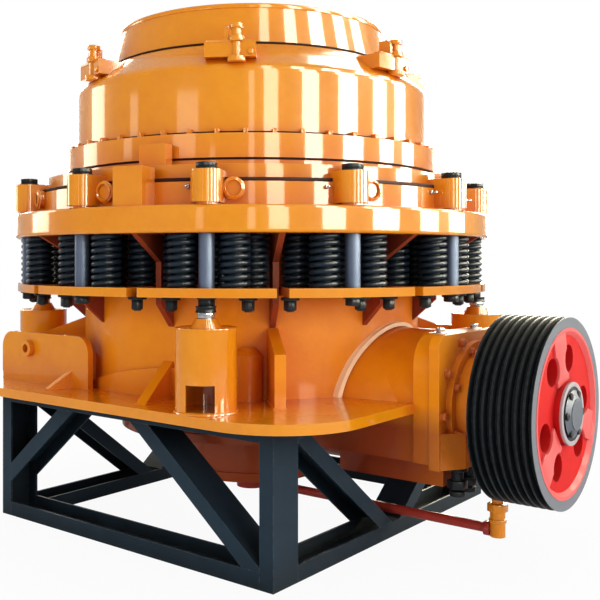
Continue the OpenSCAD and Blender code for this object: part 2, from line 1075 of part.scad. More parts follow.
module pulley_web() {
    web_t = 30;
    recess = 12;
    spoke_n = 3;
    spoke_turn = 73;
    window_turn = 25;
    window_circle_r = 175;
    window_r = 44;
    x0 = pulley_face - recess - web_t;
    color(red)
    difference() {
        along_shaft(rim_in, x0, x0 + web_t);
        along_shaft(web_hub_r, x0 - cut, x0 + web_t + cut);
        translate([0, 0, shaft_z])
        rotate([0, 90, 0])
        for (i = [0 : spoke_n - 1])
            for (side = [-1, 1])
                rotate([0, 0, spoke_turn + i * 360 / spoke_n + side * window_turn])
                translate([window_circle_r, 0, x0 - cut])
                cylinder(r = window_r, h = web_t + 2 * cut);
    }
}

module pulley_hub() {
    hub_recess = 40;
    hub_proud = 6;
    color(grey)
    difference() {
        along_shaft(web_hub_r, pulley_back + hub_recess, pulley_face + hub_proud);
        along_shaft(shaft_d / 2, pulley_back, pulley_face + hub_proud + cut);
    }
}

// ---- drain ----

riser_x = pulley_back - 30;

module drain_line() {
    translate([0, 0, pipe_z])
    rotate([0, 90, 0])
    cylinder(d = pipe_d, h = riser_x);
}

module drain_pipe() {
    sump_r = 60;
    sump_drop = 20;
    color(red)
    union() {
        translate([0, 0, pipe_z - sump_drop])
        cylinder(r = sump_r, h = hub_z - pipe_z + sump_drop);
        drain_line();
    }
}

// Fitting at the end of the drain pipe, with the tube that rises to the bearing cover.
module drain_riser() {
    fitting_r = 25;
    fitting_low = 22;
    fitting_high = 84;
    color(orange)
    difference() {
        union() {
            translate([riser_x, 0, pipe_z - fitting_low])
            cylinder(r = fitting_r, h = fitting_low + fitting_high);
            translate([riser_x, 0, pipe_z + fitting_high - cut])
            cylinder(d = riser_d, h = shaft_z - nose_r / 2 - pipe_z - fitting_high);
        }
        drain_line();
        along_shaft(nose_r, cover_face, pulley_back);
    }
}

stand_posts();
stand_base_beams();
stand_top_beams();
stand_side_braces();
stand_end_braces();
base_plate();
frame_shell();
discharge_ring();
frame_hub();
tall_ribs();
low_ribs();
shell_bosses();
main_flange();
upper_gussets();
countershaft_box();
box_flange();
bearing_cover();
bearing_saddle();
spring_plates();
outer_springs();
inner_springs();
spring_rods();
rod_nuts();
adjustment_ring();
lock_block();
push_bracket();
jack_bodies();
jack_rods();
side_brackets();
head_support();
mantle();
feed_plate();
bowl();
bowl_liner();
bowl_flange();
bowl_cover();
hopper();
hopper_funnel();
hopper_clamps();
countershaft();
pulley_rim();
pulley_web();
pulley_hub();
drain_pipe();
drain_riser();
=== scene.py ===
# Looks for the cone crusher: enamel, springs, bolts, pulley castings, floor and lamps.
import math

import bmesh
import bpy
from mathutils import Matrix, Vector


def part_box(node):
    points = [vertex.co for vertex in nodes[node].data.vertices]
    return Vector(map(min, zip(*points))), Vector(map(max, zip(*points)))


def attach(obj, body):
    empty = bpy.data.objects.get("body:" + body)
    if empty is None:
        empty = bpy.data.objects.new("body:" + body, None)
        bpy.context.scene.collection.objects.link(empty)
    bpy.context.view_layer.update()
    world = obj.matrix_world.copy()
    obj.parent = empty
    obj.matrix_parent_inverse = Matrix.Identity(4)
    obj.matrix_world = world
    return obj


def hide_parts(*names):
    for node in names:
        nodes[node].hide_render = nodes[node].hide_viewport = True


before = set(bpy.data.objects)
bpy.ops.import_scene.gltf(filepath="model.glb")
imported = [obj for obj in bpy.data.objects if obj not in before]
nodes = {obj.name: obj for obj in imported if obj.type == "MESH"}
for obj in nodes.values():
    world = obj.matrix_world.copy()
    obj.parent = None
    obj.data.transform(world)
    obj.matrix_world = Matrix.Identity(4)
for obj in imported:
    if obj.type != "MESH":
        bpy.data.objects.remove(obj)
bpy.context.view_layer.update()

shaftZ = (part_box("countershaft")[0].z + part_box("countershaft")[1].z) / 2
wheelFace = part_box("pulley_rim")[1].x
print("frame loaded:", len(nodes), "nodes")


def newMaterial(name):
    material = bpy.data.materials.new(name)
    material.use_nodes = True
    tree = material.node_tree
    return material, tree, tree.nodes["Principled BSDF"]


def feed(tree, socket, value):
    if isinstance(value, bpy.types.NodeSocket):
        tree.links.new(value, socket)
    else:
        socket.default_value = value


def noiseOf(tree, vector, scale, detail=3.0, roughness=0.55, distortion=0.0):
    noise = tree.nodes.new("ShaderNodeTexNoise")
    feed(tree, noise.inputs["Vector"], vector)
    noise.inputs["Scale"].default_value = scale
    noise.inputs["Detail"].default_value = detail
    noise.inputs["Roughness"].default_value = roughness
    noise.inputs["Distortion"].default_value = distortion
    return noise.outputs["Fac"]


def remap(tree, value, fromLow, fromHigh, toLow, toHigh):
    node = tree.nodes.new("ShaderNodeMapRange")
    feed(tree, node.inputs[0], value)
    for slot, number in zip((1, 2, 3, 4), (fromLow, fromHigh, toLow, toHigh)):
        node.inputs[slot].default_value = number
    return node.outputs[0]


def calc(tree, operation, first, second=0.0):
    node = tree.nodes.new("ShaderNodeMath")
    node.operation = operation
    feed(tree, node.inputs[0], first)
    feed(tree, node.inputs[1], second)
    return node.outputs[0]


def blendColour(tree, factor, first, second, kind="MIX"):
    node = tree.nodes.new("ShaderNodeMix")
    node.data_type = "RGBA"
    node.blend_type = kind
    feed(tree, node.inputs[0], factor)
    feed(tree, node.inputs[6], first)
    feed(tree, node.inputs[7], second)
    return node.outputs[2]


def objectPlace(tree, scale=(1.0, 1.0, 1.0)):
    coords = tree.nodes.new("ShaderNodeTexCoord")
    mapping = tree.nodes.new("ShaderNodeMapping")
    mapping.inputs["Scale"].default_value = scale
    tree.links.new(coords.outputs["Object"], mapping.inputs["Vector"])
    return mapping.outputs["Vector"]


wearSet = {"bevelSamples": 4, "flat": 0.99, "sharp": 0.80, "shadeSamples": 6, "deep": 0.35, "open": 0.95}


def edgeWear(tree, radius):
    # 0 on flats, rising to 1 on sharp outer edges and corners
    soft = tree.nodes.new("ShaderNodeBevel")
    soft.samples = wearSet["bevelSamples"]
    soft.inputs["Radius"].default_value = radius
    plain = tree.nodes.new("ShaderNodeNewGeometry")
    dot = tree.nodes.new("ShaderNodeVectorMath")
    dot.operation = "DOT_PRODUCT"
    tree.links.new(soft.outputs["Normal"], dot.inputs[0])
    tree.links.new(plain.outputs["Normal"], dot.inputs[1])
    return remap(tree, dot.outputs["Value"], wearSet["flat"], wearSet["sharp"], 0.0, 1.0)


def cornerShadeAndDirt(tree, distance):
    # 1 deep in corners, 0 on open faces; it paints shade into the corners' colour and adds dirt to their
    # roughness
    shade = tree.nodes.new("ShaderNodeAmbientOcclusion")
    shade.samples = wearSet["shadeSamples"]
    shade.inputs["Distance"].default_value = distance
    return remap(tree, shade.outputs["AO"], wearSet["deep"], wearSet["open"], 1.0, 0.0)


def colour(red, green, blue):
    # a paint colour named in screen values from 0 to 255
    def linear(value):
        part = value / 255
        return part / 12.92 if part <= 0.04045 else ((part + 0.055) / 1.055) ** 2.4
    return (linear(red), linear(green), linear(blue), 1.0)


def separate(tree, vector):
    parts = tree.nodes.new("ShaderNodeSeparateXYZ")
    tree.links.new(vector, parts.inputs[0])
    return parts.outputs


def within(tree, band):
    # 1 past band["along"] in X and between the band's inner and outer radius round a line along X
    coords = tree.nodes.new("ShaderNodeTexCoord")
    parts = separate(tree, coords.outputs["Object"])
    up = calc(tree, "SUBTRACT", parts["Z"], band["centre"])
    radius = calc(tree, "SQRT", calc(tree, "ADD", calc(tree, "MULTIPLY", up, up),
                                     calc(tree, "MULTIPLY", parts["Y"], parts["Y"])))
    far = calc(tree, "GREATER_THAN", parts["X"], band["along"])
    inside = calc(tree, "MULTIPLY", calc(tree, "GREATER_THAN", radius, band.get("inner", -1.0)),
                  calc(tree, "LESS_THAN", radius, band["outer"]))
    return calc(tree, "MULTIPLY", far, inside)


def bumped(tree, height, strength, depth, under=None):
    bump = tree.nodes.new("ShaderNodeBump")
    bump.inputs["Strength"].default_value = strength
    bump.inputs["Distance"].default_value = depth
    tree.links.new(height, bump.inputs["Height"])
    if under is not None:
        tree.links.new(under, bump.inputs["Normal"])
    return bump.outputs["Normal"]


# what all the finishes share: how much grain, painted corner shade, dirt roughness and chipping shows, and
# how deep the bumps are
enamelSet = {
    "grainShare": 0.10, "shadeBlotchScale": 7.0, "shadeBlotchLeast": 0.65, "chipScale": 46.0, "chipFrom": 0.42,
    "chipTo": 0.60, "smearScale": 5.0, "dirtRoughness": 0.15, "peelDepth": 0.0015, "waveDepth": 0.01,
    "coatIndex": 1.5, "lowShare": 0.9, "lowFadeFrom": 0.80, "lowFadeTo": 1.05, "lowFadeShare": 0.45,
}


def enamel(name, look):
    material, tree, shader = newMaterial(name)
    place = objectPlace(tree)
    tone = remap(tree, noiseOf(tree, place, look["toneScale"], 4.0), 0.3, 0.7, 0.0, 1.0)
    base = blendColour(tree, tone, look["colour"], look["second"])
    grain = noiseOf(tree, place, look["grainScale"], 2.0)
    base = blendColour(tree, remap(tree, grain, 0.35, 0.75, 0.0, enamelSet["grainShare"]), base,
                       look["deep"])
    corner = cornerShadeAndDirt(tree, look["shadeAndDirtReach"])
    shadeBlotch = remap(tree, noiseOf(tree, place, enamelSet["shadeBlotchScale"], 5.0), 0.3, 0.7,
                  enamelSet["shadeBlotchLeast"], 1.0)
    # painted shade: corners and recesses darken towards the deep colour, in blotches
    base = blendColour(tree, calc(tree, "MULTIPLY", corner, calc(tree, "MULTIPLY", shadeBlotch, look["paintedShade"])),
                       base, look["deep"])
    wear = edgeWear(tree, look["wearReach"])
    chips = remap(tree, noiseOf(tree, place, enamelSet["chipScale"], 5.0, 0.7), enamelSet["chipFrom"],
                  enamelSet["chipTo"], 0.0, 1.0)
    rub = calc(tree, "MULTIPLY", wear, chips)
    base = blendColour(tree, calc(tree, "MULTIPLY", rub, look["wear"]), base, look["worn"])
    if "low" in look:
        # painted shade: the colour darkens to red-brown down the shell and under the plate, less so out at
        # the bearing
        foot = look["low"]
        parts = separate(tree, place)
        height = remap(tree, parts["Z"], foot["from"], foot["to"], 0.0, enamelSet["lowShare"])
        outer = remap(tree, parts["X"], enamelSet["lowFadeFrom"], enamelSet["lowFadeTo"], 1.0,
                      enamelSet["lowFadeShare"])
        base = blendColour(tree, calc(tree, "MULTIPLY", height, outer), base, foot["colour"])
    for band in look.get("bands", ()):
        base = blendColour(tree, within(tree, band), base, band["colour"])
    tree.links.new(base, shader.inputs["Base Color"])
    smear = noiseOf(tree, place, enamelSet["smearScale"], 6.0, 0.6)
    rough = remap(tree, smear, 0.3, 0.72, *look["roughness"])
    rough = calc(tree, "ADD", rough, calc(tree, "MULTIPLY", corner, enamelSet["dirtRoughness"]))
    tree.links.new(rough, shader.inputs["Roughness"])
    peel = noiseOf(tree, place, look["peelScale"], 1.0)
    wave = noiseOf(tree, place, look["waveScale"], 2.0)
    peeled = bumped(tree, peel, look["peel"], enamelSet["peelDepth"])
    tree.links.new(bumped(tree, wave, look["wave"], enamelSet["waveDepth"], peeled),
                   shader.inputs["Normal"])
    shader.inputs["Coat Weight"].default_value = look["coat"]
    shader.inputs["Coat Roughness"].default_value = look["coatRoughness"]
    shader.inputs["Coat IOR"].default_value = enamelSet["coatIndex"]
    shader.inputs["Specular IOR Level"].default_value = look.get("shine", 0.2)
    shader.inputs["Metallic"].default_value = look.get("metallic", 0.0)
    return material


orangeLook = {
    "colour": colour(238, 142, 10), "second": colour(246, 158, 18), "deep": colour(186, 66, 18),
    "worn": colour(250, 190, 116), "toneScale": 2.2, "grainScale": 22.0, "shadeAndDirtReach": 0.14,
    "paintedShade": 0.7, "wearReach": 0.004, "wear": 0.55, "roughness": (0.16, 0.34), "peelScale": 180.0,
    "peel": 0.05, "waveScale": 4.0, "wave": 0.06, "coat": 0.9, "coatRoughness": 0.06, "shine": 0.1,
}
orangeEnamel = enamel("orangeEnamel", orangeLook)
# cast parts; their low colour is painted shade down the shell and under the base plate
castLook = {**orangeLook, "colour": colour(244, 146, 10), "second": colour(250, 158, 16),
            "peelScale": 90.0, "peel": 0.3, "waveScale": 9.0, "wave": 0.14,
            "roughness": (0.3, 0.5), "coat": 0.25, "coatRoughness": 0.12, "shine": 0.12,
            "low": {"from": 0.53, "to": 0.44, "colour": colour(142, 48, 34)}}
castOrange = enamel("castOrange", castLook)
# a painted highlight: the shell's raised collar round the countershaft box is painted pale where it catches
# the light
collarHighlightBand = {"centre": shaftZ - 0.043, "along": 0.3, "inner": 0.2915, "outer": 0.3065,
              "colour": colour(255, 226, 184)}
shellOrange = enamel("shellOrange", {**castLook, "bands": [collarHighlightBand]})
slatePaint = enamel("slatePaint", {
    **orangeLook, "colour": colour(40, 60, 74), "second": colour(34, 52, 66), "deep": colour(8, 12, 15),
    "worn": colour(110, 122, 134), "paintedShade": 1.0, "shadeAndDirtReach": 0.16, "roughness": (0.4, 0.6), "peel": 0.2,
    "wave": 0.12, "coat": 0.05, "coatRoughness": 0.2, "wear": 0.5, "shine": 0.12})
springBlack = enamel("springBlack", {
    **orangeLook, "colour": colour(22, 36, 48), "second": colour(28, 44, 56), "deep": colour(6, 9, 12),
    "worn": colour(60, 72, 84), "shadeAndDirtReach": 0.05, "roughness": (0.3, 0.45), "peel": 0.08, "wave": 0.04,
    "coat": 0.3, "coatRoughness": 0.16, "wear": 0.2})
nutBlack = enamel("nutBlack", {
    **orangeLook, "colour": colour(30, 34, 38), "second": colour(38, 42, 46), "deep": colour(10, 10, 12),
    "worn": colour(120, 118, 112), "shadeAndDirtReach": 0.04, "roughness": (0.32, 0.5), "peel": 0.2, "wave": 0.04,
    "coat": 0.2, "coatRoughness": 0.2, "wear": 0.5, "metallic": 0.3})
rodSteel = enamel("rodSteel", {
    **orangeLook, "colour": colour(104, 116, 138), "second": colour(90, 102, 124),
    "deep": colour(26, 30, 40),
    "worn": colour(130, 136, 146), "shadeAndDirtReach": 0.05, "roughness": (0.32, 0.42), "peel": 0.04, "wave": 0.02,
    "coat": 0.2, "coatRoughness": 0.16, "wear": 0.4, "metallic": 0.45})
# the gussets under the main flange are the orange darkened to red-brown as painted shade
gussetShade = enamel("gussetShade", {
    **orangeLook, "colour": colour(168, 74, 40), "second": colour(156, 64, 38),
    "deep": colour(90, 34, 24),
    "worn": colour(214, 122, 60), "roughness": (0.4, 0.55), "coat": 0.1,
    "coatRoughness": 0.2, "wear": 0.6})
wheelRed = enamel("wheelRed", {
    **orangeLook, "colour": colour(218, 22, 24), "second": colour(226, 30, 30),
    "deep": colour(110, 8, 16),
    "worn": colour(150, 60, 60), "shadeAndDirtReach": 0.05, "roughness": (0.5, 0.65), "coat": 0.0,
    "coatRoughness": 0.2, "shine": 0.06})
pipeRed = enamel("pipeRed", {
    **orangeLook, "colour": colour(168, 52, 44), "second": colour(182, 64, 52),
    "deep": colour(90, 26, 22),
    "worn": colour(140, 70, 60), "shadeAndDirtReach": 0.06, "roughness": (0.26, 0.42), "coat": 0.5,
    "coatRoughness": 0.15})
hubSteel = enamel("hubSteel", {
    **orangeLook, "colour": colour(104, 110, 120), "second": colour(88, 94, 104),
    "deep": colour(36, 38, 42),
    "worn": colour(170, 172, 178), "shadeAndDirtReach": 0.05, "roughness": (0.4, 0.55), "coat": 0.05,
    "coatRoughness": 0.2, "metallic": 0.3})
collarGrey = enamel("collarGrey", {
    **orangeLook, "colour": colour(196, 186, 188), "second": colour(180, 172, 176),
    "deep": colour(90, 80, 84),
    "worn": colour(210, 210, 212), "shadeAndDirtReach": 0.02, "roughness": (0.35, 0.5), "coat": 0.1,
    "coatRoughness": 0.2})
crushSteel = enamel("crushSteel", {
    **orangeLook, "colour": colour(92, 90, 90), "second": colour(112, 106, 102),
    "deep": colour(40, 36, 34),
    "worn": colour(180, 178, 176), "shadeAndDirtReach": 0.1, "roughness": (0.35, 0.6), "peelScale": 40.0,
    "peel": 0.5, "waveScale": 14.0, "wave": 0.4, "coat": 0.0, "coatRoughness": 0.3, "metallic": 0.6})
beltBlack = enamel("beltBlack", {
    **orangeLook, "colour": colour(24, 30, 34), "second": colour(32, 40, 44), "deep": colour(6, 8, 10),
    "worn": colour(110, 116, 120), "shadeAndDirtReach": 0.03, "roughness": (0.36, 0.5), "peel": 0.1, "wave": 0.05,
    "coat": 0.1, "coatRoughness": 0.2, "wear": 0.35,
    "bands": [{"centre": shaftZ, "along": wheelFace - 0.0006, "outer": 1.0,
               "colour": colour(124, 128, 134)},
              {"centre": shaftZ, "along": 0.0, "outer": 0.263, "colour": colour(176, 26, 36)}]})
chrome = enamel("chrome", {
    **orangeLook, "colour": colour(206, 210, 214), "second": colour(190, 194, 198),
    "deep": colour(80, 84, 88),
    "worn": colour(220, 222, 224), "shadeAndDirtReach": 0.02, "roughness": (0.1, 0.22), "peel": 0.02, "wave": 0.01,
    "coat": 0.0, "metallic": 0.9})
boltOrange = enamel("boltOrange", {
    **orangeLook, "colour": colour(196, 98, 34), "second": colour(210, 112, 40), "shadeAndDirtReach": 0.03,
    "roughness": (0.24, 0.4), "coat": 0.4})
darkLineBrown = enamel("darkLineBrown", {
    **orangeLook, "colour": colour(64, 26, 12), "second": colour(50, 20, 10), "deep": colour(20, 10, 8),
    "roughness": (0.5, 0.7), "coat": 0.0, "wear": 0.0})
# a lighter red for the raised ribs and the lip, painted as highlight where they catch the light
ribHighlightRed = enamel("ribHighlightRed", {
    **orangeLook, "colour": colour(236, 98, 96), "second": colour(242, 110, 106),
    "deep": colour(200, 50, 56),
    "worn": colour(170, 90, 86), "shadeAndDirtReach": 0.03, "roughness": (0.4, 0.55), "coat": 0.1, "shine": 0.1})
print("materials ready")

finishes = {
    orangeEnamel: ["main_flange", "adjustment_ring", "bowl_flange", "bowl_cover", "hopper", "hopper_clamps",
                   "spring_plates", "base_plate", "jack_bodies", "push_bracket", "lock_block",
                   "hopper_funnel", "side_brackets", "drain_riser"],
    shellOrange: ["frame_shell"],
    castOrange: ["discharge_ring", "frame_hub", "tall_ribs", "low_ribs", "shell_bosses",
                 "countershaft_box", "box_flange", "bearing_cover", "bearing_saddle", "bowl"],
    slatePaint: ["stand_posts", "stand_base_beams", "stand_top_beams", "stand_side_braces",
                 "stand_end_braces"],
    springBlack: ["outer_springs", "inner_springs", "jack_rods"],
    nutBlack: ["rod_nuts"],
    rodSteel: ["spring_rods"],
    gussetShade: ["upper_gussets"],
    hubSteel: ["countershaft"],
    crushSteel: ["head_support", "mantle", "feed_plate", "bowl_liner"],
    beltBlack: ["pulley_rim"],
    wheelRed: ["pulley_web", "pulley_hub"],
    pipeRed: ["drain_pipe"],
}
for material, names in finishes.items():
    for name in names:
        for holder in nodes[name].material_slots:
            holder.material = material
print("nodes painted")


def pickOnly(piece):
    bpy.ops.object.select_all(action="DESELECT")
    piece.select_set(True)
    bpy.context.view_layer.objects.active = piece


def start(name, adder, **settings):
    # a primitive added with nothing else selected, with its place in its mesh
    bpy.ops.object.select_all(action="DESELECT")
    adder(**settings)
    piece = bpy.context.object
    piece.name = name
    bpy.ops.object.transform_apply(location=True, rotation=True, scale=True)
    return piece


def drum(name, radius, depth, middle=0.0, sides=96):
    return start(name, bpy.ops.mesh.primitive_cylinder_add, vertices=sides, radius=radius, depth=depth,
                 location=(0.0, 0.0, middle))


def hoop(name, radius, thick, height, segments, sides):
    return start(name, bpy.ops.mesh.primitive_torus_add, major_radius=radius, minor_radius=thick,
                 major_segments=segments, minor_segments=sides, location=(0.0, 0.0, height))


def slab(name, size, place=(0.0, 0.0, 0.0)):
    piece = start(name, bpy.ops.mesh.primitive_cube_add, size=1.0)
    piece.scale = size
    piece.location = place
    bpy.ops.object.transform_apply(location=True, rotation=True, scale=True)
    return piece


def openEdit(piece, kind):
    # edit mode with nothing selected
    pickOnly(piece)
    bpy.ops.object.mode_set(mode="EDIT")
    bpy.ops.mesh.select_mode(type=kind)
    bpy.ops.mesh.select_all(action="DESELECT")
    return bmesh.from_edit_mesh(piece.data)


def pickFaces(piece, test):
    # opens the piece in edit mode with just the faces that pass the test selected
    shape = openEdit(piece, "FACE")
    for face in shape.faces:
        if test(face.calc_center_median(), face.normal):
            face.select_set(True)
    bmesh.update_edit_mesh(piece.data)


def pickEdges(piece, test):
    # the same for edges, tested by their middle and their two ends
    shape = openEdit(piece, "EDGE")
    for edge in shape.edges:
        ends = [vertex.co for vertex in edge.verts]
        if test((ends[0] + ends[1]) / 2, ends[0], ends[1]):
            edge.select_set(True)
    bmesh.update_edit_mesh(piece.data)


def closeEdit():
    bpy.ops.object.mode_set(mode="OBJECT")


# which faces an edit takes
def allFaces(middle, normal):
    return True


def topFaces(middle, normal):
    return normal.z > 0.9


def outerFaces(middle, normal):
    return normal.x > 0.9


def grow(*move):
    bpy.ops.mesh.extrude_region_move(TRANSFORM_OT_translate={"value": move})


def insetBy(*steps):
    for thickness, depth in steps:
        bpy.ops.mesh.inset(thickness=thickness, depth=depth)


def sinkFaces(piece, side, limit, drop):
    # lowers the faces that look up (side 1) or down (side -1) more steeply than the limit
    pickFaces(piece, lambda middle, normal: normal.z * side > limit)
    bpy.ops.transform.translate(value=(0.0, 0.0, -drop))
    closeEdit()


def modify(piece, kind, **settings):
    pickOnly(piece)
    modifier = piece.modifiers.new(kind.lower(), kind)
    for key, value in settings.items():
        setattr(modifier, key, value)
    bpy.ops.object.modifier_apply(modifier=modifier.name)


def cutAway(piece, cutter):
    modify(piece, "BOOLEAN", operation="DIFFERENCE", object=cutter, solver="EXACT")
    bpy.data.objects.remove(cutter)


def roundEdges(piece, width, segments=2, angle=40.0):
    modify(piece, "BEVEL", width=width, segments=segments, limit_method="ANGLE",
           angle_limit=math.radians(angle))


def join(pieces, name):
    bpy.ops.object.select_all(action="DESELECT")
    for piece in pieces:
        piece.select_set(True)
    bpy.context.view_layer.objects.active = pieces[0]
    if len(pieces) > 1:
        bpy.ops.object.join()
    whole = bpy.context.object
    bpy.ops.object.transform_apply(location=True, rotation=True, scale=True)
    whole.name = name
    whole.data.name = name
    return whole


def copiesAt(piece, places):
    # one copy with its own mesh at each place; the first model goes
    copies = []
    for place in places:
        pickOnly(piece)
        bpy.ops.object.duplicate(linked=False)
        copy = bpy.context.object
        copy.matrix_world = place
        copies.append(copy)
    bpy.data.objects.remove(piece)
    return copies


def finish(piece, material, body, angle=35.0):
    piece.data.materials.clear()
    piece.data.materials.append(material)
    pickOnly(piece)
    bpy.ops.object.shade_smooth_by_angle(angle=math.radians(angle))
    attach(piece, body)
    return piece


def aroundAxis(turn, radius, height):
    # a place on a circle round the crusher, its +X pointing outwards
    return (Matrix.Rotation(math.radians(turn), 4, "Z")
            @ Matrix.Translation((radius, 0.0, height)))


def onShaft(turn, radius, distance):
    # a place round the countershaft: its +Z looks along the shaft, its +X away from it
    return (Matrix.Translation((distance, 0.0, shaftZ)) @ Matrix.Rotation(math.radians(turn), 4, "X")
            @ Matrix.Translation((0.0, 0.0, radius)) @ Matrix.Rotation(math.radians(90.0), 4, "Y")
            @ Matrix.Rotation(math.radians(180.0), 4, "Z"))


# a nut's details as shares of its width across flats, or of its height
nutSet = {"chamfer": 0.12, "crown": 0.10, "face": 0.16, "dishEdge": 0.02, "dish": 0.05, "rounding": 0.025}


def hexNut(name, flats, height):
    # a nut or bolt head standing on z = 0, its top corners chamfered and its end a little dished
    nut = drum(name, flats / 2 / math.cos(math.pi / 6), height, height / 2, 6)
    pickFaces(nut, topFaces)
    insetBy((flats * nutSet["chamfer"], 0.0))
    bpy.ops.transform.translate(value=(0.0, 0.0, height * nutSet["crown"]))
    insetBy((flats * nutSet["face"], 0.0), (flats * nutSet["dishEdge"], -height * nutSet["dish"]))
    closeEdit()
    roundEdges(nut, flats * nutSet["rounding"], 1)
    return nut


def disc(name, radius, height, low=0.0, sides=32, edge=0.1):
    # edge is the rounding, as a share of the height
    plate = drum(name, radius, height, low + height / 2, sides)
    roundEdges(plate, height * edge, 2)
    return plate


def makeBolt(flats, height, washer):
    thick = 0.003
    plate = disc("plate", washer, thick, 0.0, 20, 0.2)
    cap = hexNut("cap", flats, height)
    cap.location.z = thick
    return join([plate, cap], "bolt")


# springs: wound coils in place of the plain cylinders
springSet = {"wire": 0.018, "outside": 0.100, "pitch": 0.0216, "sides": 10, "stepsPerTurn": 22,
             "outerCircle": 0.865, "outerTurns": (-5.6, 5.6), "innerCircle": 0.752,
             "innerTurns": (-9.7, 0.0, 9.7), "groups": 12, "coreRadius": 0.027, "coreShare": 0.8,
             "collarShare": 0.1, "collarWider": 1.14}
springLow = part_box("outer_springs")[0].z
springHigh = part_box("outer_springs")[1].z
groupStep = 360.0 / springSet["groups"]


def makeCoil():
    wire, pitch = springSet["wire"], springSet["pitch"]
    turns = (springHigh - springLow) / pitch + 1.0
    coil = start("coil", bpy.ops.mesh.primitive_circle_add, vertices=springSet["sides"], radius=wire / 2,
                 location=((springSet["outside"] - wire) / 2, 0.0, springLow - pitch / 2),
                 rotation=(math.radians(90.0), 0.0, 0.0))
    steps = int(turns * springSet["stepsPerTurn"])
    modify(coil, "SCREW", axis="Z", angle=math.tau * turns, screw_offset=pitch * turns, steps=steps,
           render_steps=steps)
    for level, side in ((springLow, -1.0), (springHigh, 1.0)):
        # both ends are ground flat
        pickFaces(coil, allFaces)
        bpy.ops.mesh.bisect(plane_co=(0.0, 0.0, level), plane_no=(0.0, 0.0, side), use_fill=True,
                            clear_outer=True)
        closeEdit()
    pickFaces(coil, allFaces)
    bpy.ops.mesh.remove_doubles(threshold=0.00001)
    bpy.ops.mesh.normals_make_consistent(inside=False)
    closeEdit()
    return coil


def makeCore():
    # the guide that fills the middle of a spring, with a collar at each end
    height = springHigh - springLow
    core = drum("core", springSet["coreRadius"], height * springSet["coreShare"],
                (springLow + springHigh) / 2, 16)
    wider = springSet["collarWider"]
    for side in (1.0, -1.0):
        pickFaces(core, lambda middle, normal: normal.z * side > 0.9)
        bpy.ops.mesh.extrude_region_move()
        bpy.ops.transform.resize(value=(wider, wider, 1.0))
        grow(0.0, 0.0, side * height * springSet["collarShare"])
        closeEdit()
    return core


def springPlaces(circle, turns):
    return [aroundAxis(group * groupStep + turn, circle, 0.0)
            for group in range(springSet["groups"]) for turn in turns]


outerPlaces = springPlaces(springSet["outerCircle"], springSet["outerTurns"])
innerPlaces = springPlaces(springSet["innerCircle"], springSet["innerTurns"])
for name, node, places in (("outerCoils", "outer_springs", outerPlaces),
                           ("innerCoils", "inner_springs", innerPlaces)):
    coils = join(copiesAt(makeCoil(), places), name)
    finish(coils, springBlack, "frame", 50.0)
    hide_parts(node)
cores = join(copiesAt(makeCore(), outerPlaces + innerPlaces), "springGuides")
finish(cores, springBlack, "frame")
print("springs wound")

# nuts on the spring rods: cap nuts on the lugs, lower nuts under the spring plates
rodSet = {"circle": 0.890, "capDrop": 0.022, "capFlats": 0.060, "capWasher": 0.035, "capTwist": 0.25,
          "lowHeight": 0.026, "lowFlats": 0.046, "lowWasher": 0.031, "washerThick": 0.005}
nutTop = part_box("rod_nuts")[1].z
lugTop = nutTop - rodSet["capDrop"]
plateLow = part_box("spring_plates")[0].z
flip = Matrix.Rotation(math.pi, 4, "X")


def makeRodNut(height, flats, washerRadius):
    thick = rodSet["washerThick"]
    washer = disc("washer", washerRadius, thick, 0.0, 24, 0.2)
    nut = hexNut("nut", flats, height - thick)
    nut.location.z = thick
    return join([washer, nut], "rodNut")


capNuts = copiesAt(makeRodNut(nutTop - lugTop, rodSet["capFlats"], rodSet["capWasher"]), [
    aroundAxis(group * groupStep, rodSet["circle"], lugTop)
    @ Matrix.Rotation(rodSet["capTwist"] * group, 4, "Z") for group in range(springSet["groups"])])
lowNuts = copiesAt(makeRodNut(rodSet["lowHeight"], rodSet["lowFlats"], rodSet["lowWasher"]), [
    aroundAxis(group * groupStep, rodSet["circle"], plateLow) @ flip
    for group in range(springSet["groups"])])
rodNuts = join(capNuts + lowNuts, "rodNuts")
finish(rodNuts, nutBlack, "frame")
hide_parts("rod_nuts")

# bolts that hold the spring guides, hanging under the spring plates
guideBoltSet = {"circle": 0.866, "washer": 0.030, "washerThick": 0.010, "flats": 0.036, "nut": 0.030,
                "stud": 0.012, "studLength": 0.006, "studRoot": 0.004,
                "turns": (-98.0, -76.0, -68.0, -51.7, -43.0, -27.3, -20.0, -8.5, 8.0, 22.0, 38.0, 52.0,
                          68.0)}


def makeGuideBolt():
    kit = guideBoltSet
    washer = disc("washer", kit["washer"], kit["washerThick"], 0.0, 24, 0.2)
    nut = hexNut("nut", kit["flats"], kit["nut"])
    nut.location.z = kit["washerThick"]
    stud = disc("stud", kit["stud"], kit["studLength"] + kit["studRoot"],
                kit["washerThick"] + kit["nut"] - kit["studRoot"], 16)
    return join([washer, nut, stud], "guideBolt")


guideBolts = join(copiesAt(makeGuideBolt(), [
    aroundAxis(turn + half, guideBoltSet["circle"], plateLow) @ flip
    for half in (0.0, 180.0) for turn in guideBoltSet["turns"]]), "guideBolts")
finish(guideBolts, nutBlack, "frame")

